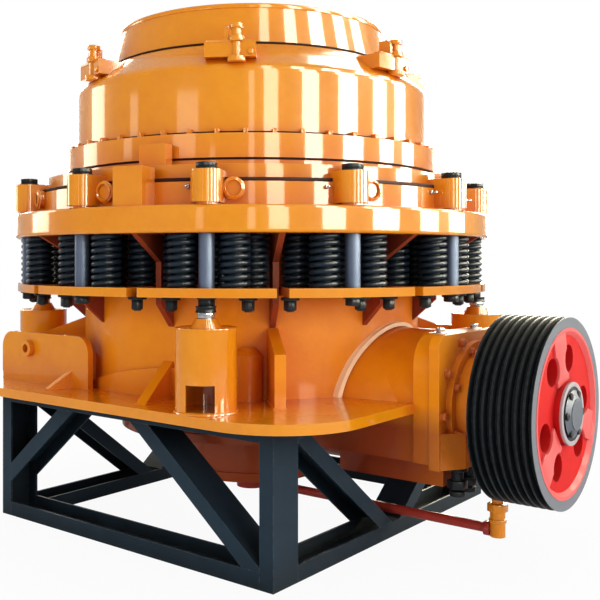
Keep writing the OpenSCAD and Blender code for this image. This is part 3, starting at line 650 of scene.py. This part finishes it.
# jack rams: a bright ram under a black pad with a groove round it
ramSet = {"circle": 0.898, "ram": 0.027, "shows": 0.018, "intoPad": 0.002, "pad": 0.033,
          "grooveEdge": 0.006, "grooveDepth": 0.0025, "turns": (30.0, 120.0, 210.0, 300.0)}
ramLow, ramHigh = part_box("jack_rods")[0].z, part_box("jack_rods")[1].z
padLow = ramLow + ramSet["shows"]
ram = disc("ram", ramSet["ram"], padLow - ramLow + ramSet["intoPad"], 0.0, 32, 0.05)
rams = join(copiesAt(ram, [aroundAxis(turn, ramSet["circle"], ramLow) for turn in ramSet["turns"]]),
            "jackRams")
finish(rams, chrome, "frame")
pad = disc("pad", ramSet["pad"], ramHigh - padLow, 0.0, 32, 0.08)
pickFaces(pad, lambda middle, normal: abs(normal.z) < 0.2 and normal.length > 0)
insetBy((ramSet["grooveEdge"], -ramSet["grooveDepth"]))
closeEdit()
pads = join(copiesAt(pad, [aroundAxis(turn, ramSet["circle"], padLow) for turn in ramSet["turns"]]),
            "jackPads")
finish(pads, nutBlack, "frame")
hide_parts("jack_rods")
print("spring row bolted")

# the row of small blocks round the foot of the bowl's cover
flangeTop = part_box("bowl_flange")[1].z
blockSet = {"count": 48, "circle": 0.7215, "depth": 0.022, "width": 0.015, "height": 0.017,
            "faceEdge": 0.004, "faceDip": 0.002, "rounding": 0.0016}
block = slab("block", (blockSet["depth"], blockSet["width"], blockSet["height"]))
pickFaces(block, outerFaces)
insetBy((blockSet["faceEdge"], -blockSet["faceDip"]))
closeEdit()
roundEdges(block, blockSet["rounding"], 1)
footBlocks = join(copiesAt(block, [
    aroundAxis(place * 360.0 / blockSet["count"], blockSet["circle"], flangeTop + blockSet["height"] / 2)
    for place in range(blockSet["count"])]), "coverFootBlocks")
finish(footBlocks, orangeEnamel, "bowl")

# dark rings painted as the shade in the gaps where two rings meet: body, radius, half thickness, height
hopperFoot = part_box("hopper")[0].z
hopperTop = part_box("hopper")[1].z
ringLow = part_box("adjustment_ring")[0].z
gapShadeSet = {
    "coverGapShade": ("bowl", 0.7115, 0.0035, flangeTop + 0.007),
    "flangeGapShade": ("bowl", 0.7375, 0.0042, flangeTop - 0.083),
    "hopperGapShade": ("bowl", 0.5712, 0.0060, hopperFoot + 0.006),
    "ringGapShade": ("frame", 0.8510, 0.0030, ringLow + 0.001),
}
for name, (body, radius, thick, height) in gapShadeSet.items():
    gapShade = hoop(name, radius, thick, height, 192, 8)
    sinkFaces(gapShade, 1.0, 0.8, thick * 0.3)
    gapShade.data.name = name
    finish(gapShade, darkLineBrown, body)
beadSet = {"radius": 0.8462, "thick": 0.0060, "up": 0.0840, "flatten": 0.002}
stepBead = hoop("ringStepBead", beadSet["radius"], beadSet["thick"], ringLow + beadSet["up"], 192, 10)
sinkFaces(stepBead, -1.0, 0.8, beadSet["flatten"])
finish(stepBead, darkLineBrown, "frame")
rimSet = {"radius": 0.5330, "thick": 0.0075, "down": 0.0080, "flatten": 0.004}
rim = hoop("hopperRim", rimSet["radius"], rimSet["thick"], hopperTop - rimSet["down"], 160, 12)
sinkFaces(rim, -1.0, 0.7, rimSet["flatten"])
finish(rim, orangeEnamel, "bowl")

# hopper clamps: foot disc, collar, bolt head, rounded ear, wide lip and stop on each pad
clampSet = {
    "count": 7, "firstTurn": 46.0, "bolt": 0.698, "across": 0.0215, "padThick": 0.050,
    "foot": {"radius": 0.031, "height": 0.020, "drop": 0.018},
    "collar": {"flats": 0.046, "height": 0.018}, "head": {"flats": 0.040, "height": 0.016, "drop": 0.014},
    "ear": {"length": 0.050, "width": 0.012, "back": 0.020, "aside": 0.033, "round": 0.020,
            "edge": 0.0012},
    "lip": {"size": (0.030, 0.160, 0.007), "back": 0.006, "up": 0.0015, "faceEdge": 0.002,
            "faceDip": 0.001},
    "stop": {"radius": 0.010, "length": 0.012, "out": 0.004, "aside": 0.070, "up": 0.016},
}
clampLow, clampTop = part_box("hopper_clamps")[0].z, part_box("hopper_clamps")[1].z


def makeClampKit():
    kit = clampSet
    bolt, across, padHigh = kit["bolt"], kit["across"], clampLow + kit["padThick"]
    foot = disc("foot", kit["foot"]["radius"], kit["foot"]["height"], clampLow - kit["foot"]["drop"],
                28, 0.2)
    foot.location = (bolt, across, 0.0)
    collar = hexNut("collar", kit["collar"]["flats"], kit["collar"]["height"])
    collar.location = (bolt, across, padHigh)
    head = hexNut("head", kit["head"]["flats"], kit["head"]["height"])
    head.location = (bolt, across, clampTop - kit["head"]["drop"])
    ear = slab("ear", (kit["ear"]["length"], kit["ear"]["width"], clampTop - padHigh))
    pickEdges(ear, lambda middle, first, second: middle.z > 0.01 and middle.x > 0.02
              and abs(first.y - second.y) > 0.001)
    bpy.ops.mesh.bevel(offset=kit["ear"]["round"], segments=5)
    closeEdit()
    roundEdges(ear, kit["ear"]["edge"], 1)
    ear.location = (bolt - kit["ear"]["back"], across - kit["ear"]["aside"], (clampTop + padHigh) / 2)
    lip = slab("lip", kit["lip"]["size"])
    pickFaces(lip, outerFaces)
    insetBy((kit["lip"]["faceEdge"], -kit["lip"]["faceDip"]))
    closeEdit()
    lip.location = (bolt - kit["lip"]["back"], 0.0, padHigh + kit["lip"]["up"])
    stop = disc("stop", kit["stop"]["radius"], kit["stop"]["length"], 0.0, 20, 0.2)
    stop.rotation_euler = (0.0, math.radians(90.0), 0.0)
    stop.location = (bolt + kit["stop"]["out"], kit["stop"]["aside"], clampLow + kit["stop"]["up"])
    return join([foot, collar, head, ear, lip, stop], "clampKit")


clampFittings = join(copiesAt(makeClampKit(), [
    aroundAxis(clampSet["firstTurn"] + 360.0 / clampSet["count"] * each, 0.0, 0.0)
    for each in range(clampSet["count"])]), "clampFittings")
finish(clampFittings, orangeEnamel, "bowl")
print("bowl fitted")

# adjustment ring: pin bosses and grease nipples beside the lugs
bossSet = {"turn": 5.3, "circle": 0.846, "radius": 0.031, "height": 1.218, "proud": 0.026,
           "steps": ((0.008, 0.0), (0.001, -0.007), (0.007, 0.0), (0.001, 0.005))}
boss = disc("boss", bossSet["radius"], bossSet["proud"], 0.0, 36, 0.16)
pickFaces(boss, topFaces)
insetBy(*bossSet["steps"])
closeEdit()
outward = Matrix.Rotation(math.radians(90.0), 4, "Y")
pinBosses = join(copiesAt(boss, [
    aroundAxis(group * groupStep + bossSet["turn"], bossSet["circle"], bossSet["height"]) @ outward
    for group in range(springSet["groups"])]), "pinBosses")
finish(pinBosses, orangeEnamel, "frame")
nippleSet = {"turn": -4.7, "circle": 0.849, "height": 1.226, "baseFlats": 0.014, "baseHeight": 0.010,
             "stem": 0.0042, "stemLength": 0.014, "stemLow": 0.008, "ball": 0.0052, "ballUp": 0.023}
nippleBase = hexNut("base", nippleSet["baseFlats"], nippleSet["baseHeight"])
nippleStem = disc("stem", nippleSet["stem"], nippleSet["stemLength"], nippleSet["stemLow"], 12, 0.15)
nippleBall = start("ball", bpy.ops.mesh.primitive_uv_sphere_add, segments=12, ring_count=8,
                   radius=nippleSet["ball"], location=(0.0, 0.0, nippleSet["ballUp"]))
nipple = join([nippleBase, nippleStem, nippleBall], "nipple")
nipples = join(copiesAt(nipple, [
    aroundAxis(group * groupStep + nippleSet["turn"], nippleSet["circle"], nippleSet["height"]) @ outward
    for group in range(springSet["groups"])]), "greaseNipples")
finish(nipples, chrome, "frame")

# weld beads round the top and foot of each jack
jackSet = {"topDrop": 0.0295, "topRadius": 0.0945, "topThick": 0.0032, "footUp": 0.001,
           "footRadius": 0.0970, "footThick": 0.0060}
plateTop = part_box("base_plate")[1].z
beadTop = hoop("bead", jackSet["topRadius"], jackSet["topThick"],
               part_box("jack_bodies")[1].z - jackSet["topDrop"], 64, 8)
beadFoot = hoop("bead", jackSet["footRadius"], jackSet["footThick"], plateTop + jackSet["footUp"], 64, 8)
jackBead = join([beadTop, beadFoot], "jackBead")
jackBeads = join(copiesAt(jackBead, [aroundAxis(turn, ramSet["circle"], 0.0) for turn in ramSet["turns"]]),
                 "jackBeads")
finish(jackBeads, orangeEnamel, "frame")

# rings of bolts on the box flange, the bearing cover and its nose; bolt is flats, height, washer
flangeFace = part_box("box_flange")[1].x
boltRings = {
    "box": {"bolt": (0.024, 0.013, 0.017), "circle": 0.239, "out": 0.0,
            "turns": (27.0, 60.0, 93.0, -27.0, -60.0, -93.0)},
    "cover": {"bolt": (0.020, 0.011, 0.014), "circle": 0.199, "out": 0.020,
              "turns": [22.5 + 45.0 * each for each in range(8)]},
    "nose": {"bolt": (0.016, 0.009, 0.011), "circle": 0.150, "out": 0.064,
             "turns": [30.0 * each + 15.0 for each in range(12)]},
}
bearingBolts = []
for ring in boltRings.values():
    bearingBolts += copiesAt(makeBolt(*ring["bolt"]), [
        onShaft(turn, ring["circle"], flangeFace + ring["out"]) for turn in ring["turns"]])
bearingBolts = join(bearingBolts, "bearingBolts")
finish(bearingBolts, boltOrange, "frame")

plugSet = {"bolt": (0.026, 0.014, 0.026), "x": 0.915, "aside": 0.130, "sunk": 0.0015}
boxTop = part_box("countershaft_box")[1].z
plugs = join(copiesAt(makeBolt(*plugSet["bolt"]), [
    Matrix.Translation((plugSet["x"], side * plugSet["aside"], boxTop - plugSet["sunk"]))
    for side in (-1.0, 1.0)]), "fillerPlugs")
finish(plugs, chrome, "frame")

# oil unions hanging under the box flange, each part's radius, height and low end
unionSet = {"x": 0.985, "across": (-0.150, -0.070), "into": 0.0005, "collar": (0.034, 0.014, -0.014),
            "neck": (0.020, 0.050, -0.060), "nutFlats": 0.058, "nutHeight": 0.026, "nutLow": -0.072,
            "end": (0.026, 0.018, -0.098)}
unionParts = [disc("union", *unionSet["collar"], 28, 0.2), disc("union", *unionSet["neck"], 24, 0.05),
              hexNut("union", unionSet["nutFlats"], unionSet["nutHeight"]),
              disc("union", *unionSet["end"], 24, 0.2)]
unionParts[2].location.z = unionSet["nutLow"]
drainUnion = join(unionParts, "drainUnion")
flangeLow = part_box("box_flange")[0].z
drainUnions = join(copiesAt(drainUnion, [
    Matrix.Translation((unionSet["x"], across, flangeLow + unionSet["into"]))
    for across in unionSet["across"]]), "drainUnions")
finish(drainUnions, nutBlack, "frame")

# the drain riser's fitting: a union nut on top, a collar at its foot, a nut where the pipe enters
riserLow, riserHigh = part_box("drain_riser")
riserX = (riserLow.x + riserHigh.x) / 2
fittingSet = {"high": 0.106, "radius": 0.025, "nutFlats": 0.060, "nutHeight": 0.026, "nutDrop": 0.022,
              "collarProud": 0.004, "collarHeight": 0.014, "collarUp": 0.046, "neck": 0.019,
              "neckHeight": 0.020, "neckUp": 0.002, "pipeUp": 0.022, "inletFlats": 0.044,
              "inletHeight": 0.022, "inletInto": 0.002}
unionNut = hexNut("unionNut", fittingSet["nutFlats"], fittingSet["nutHeight"])
unionNut.location = (riserX, 0.0, riserLow.z + fittingSet["high"] - fittingSet["nutDrop"])
footCollar = disc("footCollar", fittingSet["radius"] + fittingSet["collarProud"],
                  fittingSet["collarHeight"], riserLow.z + fittingSet["collarUp"], 28, 0.25)
footCollar.location = (riserX, 0.0, 0.0)
neck = disc("neck", fittingSet["neck"], fittingSet["neckHeight"],
            riserLow.z + fittingSet["high"] + fittingSet["neckUp"], 24, 0.2)
neck.location = (riserX, 0.0, 0.0)
riserFitting = join([unionNut, footCollar, neck], "riserFitting")
finish(riserFitting, orangeEnamel, "frame")
inletNut = hexNut("inletNut", fittingSet["inletFlats"], fittingSet["inletHeight"])
inletNut.rotation_euler = (0.0, math.radians(-90.0), 0.0)
inletNut.location = (riserX - fittingSet["radius"] + fittingSet["inletInto"], 0.0,
                     riserLow.z + fittingSet["pipeUp"])
inletNut = join([inletNut], "inletNut")
finish(inletNut, pipeRed, "frame")
print("box bolted")

# raised ribs on the pulley's web, cut back round its windows, in the lighter red of a painted highlight
wheelSet = {"ribTurns": (13.0, 133.0, 253.0), "inner": 0.099, "outer": 0.2595, "halfWidth": 0.050,
            "proud": 0.008, "windowCircle": 0.175, "windowTurn": 25.0, "cutRadius": 0.0475,
            "rounding": 0.003}
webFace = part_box("pulley_web")[1].x
rib = slab("rib", (wheelSet["outer"] - wheelSet["inner"], 2 * wheelSet["halfWidth"],
                   wheelSet["proud"] * 2),
           ((wheelSet["outer"] + wheelSet["inner"]) / 2, 0.0, 0.0))
for side in (-1.0, 1.0):
    angle = math.radians(wheelSet["windowTurn"] * side)
    cutAway(rib, start("cutter", bpy.ops.mesh.primitive_cylinder_add, vertices=48,
                       radius=wheelSet["cutRadius"], depth=0.1,
                       location=(wheelSet["windowCircle"] * math.cos(angle),
                                 wheelSet["windowCircle"] * math.sin(angle), 0.0)))
roundEdges(rib, wheelSet["rounding"], 2, 50.0)
wheelRibs = join(copiesAt(rib, [onShaft(turn, 0.0, webFace) for turn in wheelSet["ribTurns"]]),
                 "wheelRibs")
finish(wheelRibs, ribHighlightRed, "drive")

# a sloped lip between the web and the rim, in the lighter red of a painted highlight
lipSet = {"outer": 0.2715, "atFace": 0.2700, "atWeb": 0.2380, "proud": 0.0012, "stepOuter": 0.3,
          "stepInner": 0.2605}
lipDepth = wheelFace - webFace
lipRing = drum("lipRing", lipSet["outer"], lipSet["proud"] + lipDepth, (lipSet["proud"] + lipDepth) / 2,
               128)
step = drum("step", lipSet["stepOuter"], lipDepth * 2, 0.0, 128)
cutAway(step, drum("inner", lipSet["stepInner"], lipDepth * 3, 0.0, 128))
cutAway(lipRing, step)
cutAway(lipRing, start("cone", bpy.ops.mesh.primitive_cone_add, vertices=128, radius1=lipSet["atWeb"],
                       radius2=lipSet["atFace"], depth=lipDepth * 3, location=(0.0, 0.0, lipDepth / 2)))
lipRing = join(copiesAt(lipRing, [onShaft(0.0, 0.0, webFace)]), "wheelLip")
finish(lipRing, ribHighlightRed, "drive")

# the pale collar round the bushing
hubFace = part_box("pulley_hub")[1].x
collarSet = {"outer": 0.1005, "inner": 0.0860, "proud": 0.0100, "rounding": 0.0015}
collar = drum("collar", collarSet["outer"], collarSet["proud"], collarSet["proud"] / 2)
cutAway(collar, drum("inner", collarSet["inner"], 0.1))
roundEdges(collar, collarSet["rounding"], 2, 50.0)
collar = join(copiesAt(collar, [onShaft(0.0, 0.0, hubFace)]), "hubCollar")
finish(collar, collarGrey, "drive")

# the taper bushing with its bolts and key
bushSet = {"outer": 0.0855, "bore": 0.0505, "proud": 0.007, "rounding": 0.0025, "turn": 20.0,
           "bolt": (0.021, 0.009, 0.013), "boltCircle": 0.0675,
           "boltTurns": (10.0, 70.0, 130.0, 190.0, 250.0, 310.0),
           "key": (0.016, 0.026, 0.020), "keyCircle": 0.0555, "keyRounding": 0.0015}
bush = drum("bush", bushSet["outer"], bushSet["proud"], bushSet["proud"] / 2, 64)
cutAway(bush, drum("bore", bushSet["bore"], 0.1, 0.0, 64))
roundEdges(bush, bushSet["rounding"], 2, 50.0)
bushBolts = copiesAt(makeBolt(*bushSet["bolt"]), [
    Matrix.Rotation(math.radians(turn), 4, "Z")
    @ Matrix.Translation((bushSet["boltCircle"], 0.0, bushSet["proud"])) for turn in bushSet["boltTurns"]])
key = slab("key", bushSet["key"], (bushSet["keyCircle"], 0.0, bushSet["proud"]))
roundEdges(key, bushSet["keyRounding"], 1)
bushing = join([bush, key] + bushBolts, "bushing")
bushing = join(copiesAt(bushing, [onShaft(bushSet["turn"], 0.0, hubFace)]), "bushing")
finish(bushing, nutBlack, "drive")

# the shaft's end with its centre mark
shaftEndSet = {"radius": 0.0492, "thick": 0.004, "steps": ((0.004, -0.001), (0.033, 0.0), (0.002, -0.003))}
shaftEnd = disc("shaftEnd", shaftEndSet["radius"], shaftEndSet["thick"], 0.0, 48, 0.4)
pickFaces(shaftEnd, topFaces)
insetBy(*shaftEndSet["steps"])
closeEdit()
shaftEnd = join(copiesAt(shaftEnd, [
    onShaft(0.0, 0.0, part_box("countershaft")[1].x - shaftEndSet["thick"])]), "shaftEnd")
finish(shaftEnd, hubSteel, "drive")
print("pulley dressed")

# weld beads along both sides of the ribs: turns, inner end, length, half the rib's thickness
weldSet = {
    "tallRibWelds": ((45.0, 135.0, 225.0, 315.0), 0.674, 0.186, 0.018),
    "lowRibWelds": (tuple(side + half for side in (86.0, 176.0, 266.0) for half in (-18.0, 18.0)),
                    0.674, 0.175, 0.018),
}
beadShape = {"radius": 0.006, "step": 1.1, "narrow": 0.7, "swell": 1.35}


def weldBead(length):
    # a laid bead: a string of short swells from one end to the other, along +X
    radius, swell = beadShape["radius"], beadShape["swell"]
    count = max(3, int(length / (radius * beadShape["step"])))
    bead = start("bead", bpy.ops.mesh.primitive_circle_add, vertices=8, radius=radius * beadShape["narrow"],
                 fill_type="NGON", rotation=(0.0, math.radians(90.0), 0.0))
    pickFaces(bead, allFaces)
    for each in range(count):
        grow(length / count, 0.0, 0.0)
        factor = swell if each % 2 == 0 else 1.0 / swell
        bpy.ops.transform.resize(value=(1.0, factor, factor))
    bpy.ops.mesh.select_all(action="SELECT")
    bpy.ops.mesh.normals_make_consistent(inside=False)
    closeEdit()
    return bead


for name, (turns, inner, length, half) in weldSet.items():
    beads = join(copiesAt(weldBead(length), [
        aroundAxis(turn, 0.0, 0.0) @ Matrix.Translation((inner, side * half, plateTop))
        for turn in turns for side in (-1.0, 1.0)]), name)
    finish(beads, castOrange, "frame", 60.0)
print("welds laid")

# the floor is white to the camera and keeps the crusher's shadow close by
floorSet = {"size": 60.0, "low": -0.001, "paint": (0.84, 0.84, 0.84, 1.0), "roughness": 0.9, "shine": 0.1,
            "shadowTo": 1.0, "plainFrom": 2.8, "whiteNear": 0.94, "mirrored": 0.1}
bpy.ops.object.select_all(action="DESELECT")
bpy.ops.mesh.primitive_plane_add(size=floorSet["size"], location=(0.0, 0.0, floorSet["low"]))
floor = bpy.context.object
floor.name = "floor"


def whiteShown(tree, lit, share):
    # what the camera sees is part plain white, and mirrors see a dimmer share of it
    path = tree.nodes.new("ShaderNodeLightPath")
    mirrored = calc(tree, "MULTIPLY", path.outputs["Is Glossy Ray"], floorSet["mirrored"])
    seen = calc(tree, "MAXIMUM", path.outputs["Is Camera Ray"], mirrored)
    seen = calc(tree, "MAXIMUM", seen, path.outputs["Is Transmission Ray"])
    white = tree.nodes.new("ShaderNodeEmission")
    mix = tree.nodes.new("ShaderNodeMixShader")
    tree.links.new(calc(tree, "MULTIPLY", seen, share), mix.inputs[0])
    tree.links.new(lit, mix.inputs[1])
    tree.links.new(white.outputs[0], mix.inputs[2])
    return mix.outputs[0]


floorPaint, floorTree, floorShader = newMaterial("floorPaint")
floorShader.inputs["Base Color"].default_value = floorSet["paint"]
floorShader.inputs["Roughness"].default_value = floorSet["roughness"]
floorShader.inputs["Specular IOR Level"].default_value = floorSet["shine"]
floorOut = floorTree.nodes["Material Output"]
away = floorTree.nodes.new("ShaderNodeVectorMath")
away.operation = "LENGTH"
floorTree.links.new(objectPlace(floorTree), away.inputs[0])
share = remap(floorTree, away.outputs["Value"], floorSet["shadowTo"], floorSet["plainFrom"],
              floorSet["whiteNear"], 1.0)
floorTree.links.new(whiteShown(floorTree, floorShader.outputs[0], share), floorOut.inputs[0])
floor.data.materials.append(floorPaint)

world = bpy.data.worlds.new("studio")
bpy.context.scene.world = world
world.use_nodes = True
worldTree = world.node_tree
ambient = worldTree.nodes["Background"]
ambient.inputs["Color"].default_value = (1.0, 1.0, 1.0, 1.0)
ambient.inputs["Strength"].default_value = 0.40
worldTree.links.new(whiteShown(worldTree, ambient.outputs[0], 1.0),
                    worldTree.nodes["World Output"].inputs[0])

cameraSet = {"distance": 3.572, "turn": -51.0, "height": 0.988, "lens": 52.2, "sensor": 36.0,
             "shift": (0.0808, -0.0633), "reach": 200.0}


def facing(thing, turn, distance, height):
    # stands a camera or lamp at a turn and distance from the middle, looking inwards
    angle = math.radians(turn)
    thing.location = (distance * math.cos(angle), distance * math.sin(angle), height)
    thing.rotation_euler = (math.radians(90.0), 0.0, angle + math.radians(90.0))
    bpy.context.scene.collection.objects.link(thing)


lens = bpy.data.cameras.new("camera")
lens.lens = cameraSet["lens"]
lens.sensor_width = cameraSet["sensor"]
lens.shift_x, lens.shift_y = cameraSet["shift"]
lens.clip_end = cameraSet["reach"]
camera = bpy.data.objects.new("camera", lens)
facing(camera, cameraSet["turn"], cameraSet["distance"], cameraSet["height"])
bpy.context.scene.camera = camera


def panelLight(name, width, height, strength, tint):
    light = bpy.data.lights.new(name, "AREA")
    light.shape = "RECTANGLE"
    light.size, light.size_y = width, height
    light.energy = strength * math.pi * width * height
    light.color = tint
    return bpy.data.objects.new(name, light)


def hangLamp(name, turn, distance, low, high, width, strength, shines):
    # an upright panel of light facing the crusher; it gives highlights or lights the paint, not both
    tint = lampSet["windowTint"] if shines else (1.0, 1.0, 1.0)
    panel = panelLight(name, width, high - low, strength, tint)
    facing(panel, turn, distance, (low + high) / 2)
    panel.visible_diffuse = not shines
    panel.visible_glossy = shines


lampSet = {"windowDistance": 7.0, "windowTint": (1.0, 0.93, 0.72), "keyDistance": 5.6,
           "topSize": 4.0, "topStrength": 1.1, "topPlace": (0.6, -0.8, 5.2)}
# windows of the hall mirrored in the enamel: turn, width in degrees, low, high, strength
windowSet = {
    "windowA": (-40.0, 8.0, 1.3, 10.5, 14.0), "windowB": (-51.0, 3.0, 1.3, 4.0, 5.0),
    "windowC": (-17.0, 10.0, 1.3, 10.5, 26.0), "windowD": (7.0, 13.0, 1.3, 10.5, 36.0),
    "windowE": (31.0, 11.0, 1.3, 10.5, 36.0), "windowF": (50.0, 11.0, 1.3, 10.5, 26.0),
    "windowM": (88.0, 36.0, 8.0, 14.0, 16.0),
    "windowG": (104.0, 26.0, 1.0, 5.0, 18.0), "windowH": (-88.0, 13.0, 2.1, 2.8, 3.5),
    "windowI": (-124.0, 6.0, 2.1, 2.8, 3.5), "windowJ": (-158.0, 15.0, 1.3, 3.6, 8.0),
    "windowK": (160.0, 16.0, 1.0, 6.0, 8.0), "windowL": (-72.0, 3.0, 1.3, 2.2, 3.0),
}
for name, (turn, wide, low, high, strength) in windowSet.items():
    hangLamp(name, turn, lampSet["windowDistance"], low, high,
             lampSet["windowDistance"] * math.radians(wide), strength, True)
# lamps that light the paint: turn, low, high, width, strength
keySet = {
    "keyRight": (-14.0, 0.2, 2.8, 3.6, 3.1), "keyLow": (28.0, 0.1, 1.5, 3.2, 4.6),
    "keyLeft": (-92.0, 0.2, 2.8, 3.6, 2.3), "keyBack": (130.0, 0.6, 3.4, 4.4, 1.6),
    "keyFar": (-165.0, 0.4, 3.2, 3.0, 1.4),
}
for name, (turn, low, high, width, strength) in keySet.items():
    hangLamp(name, turn, lampSet["keyDistance"], low, high, width, strength, False)
top = panelLight("top", lampSet["topSize"], lampSet["topSize"], lampSet["topStrength"], (1.0, 1.0, 1.0))
top.location = lampSet["topPlace"]
top.visible_glossy = False
bpy.context.scene.collection.objects.link(top)
bpy.context.scene.view_settings.view_transform = "Standard"
print("stage set")
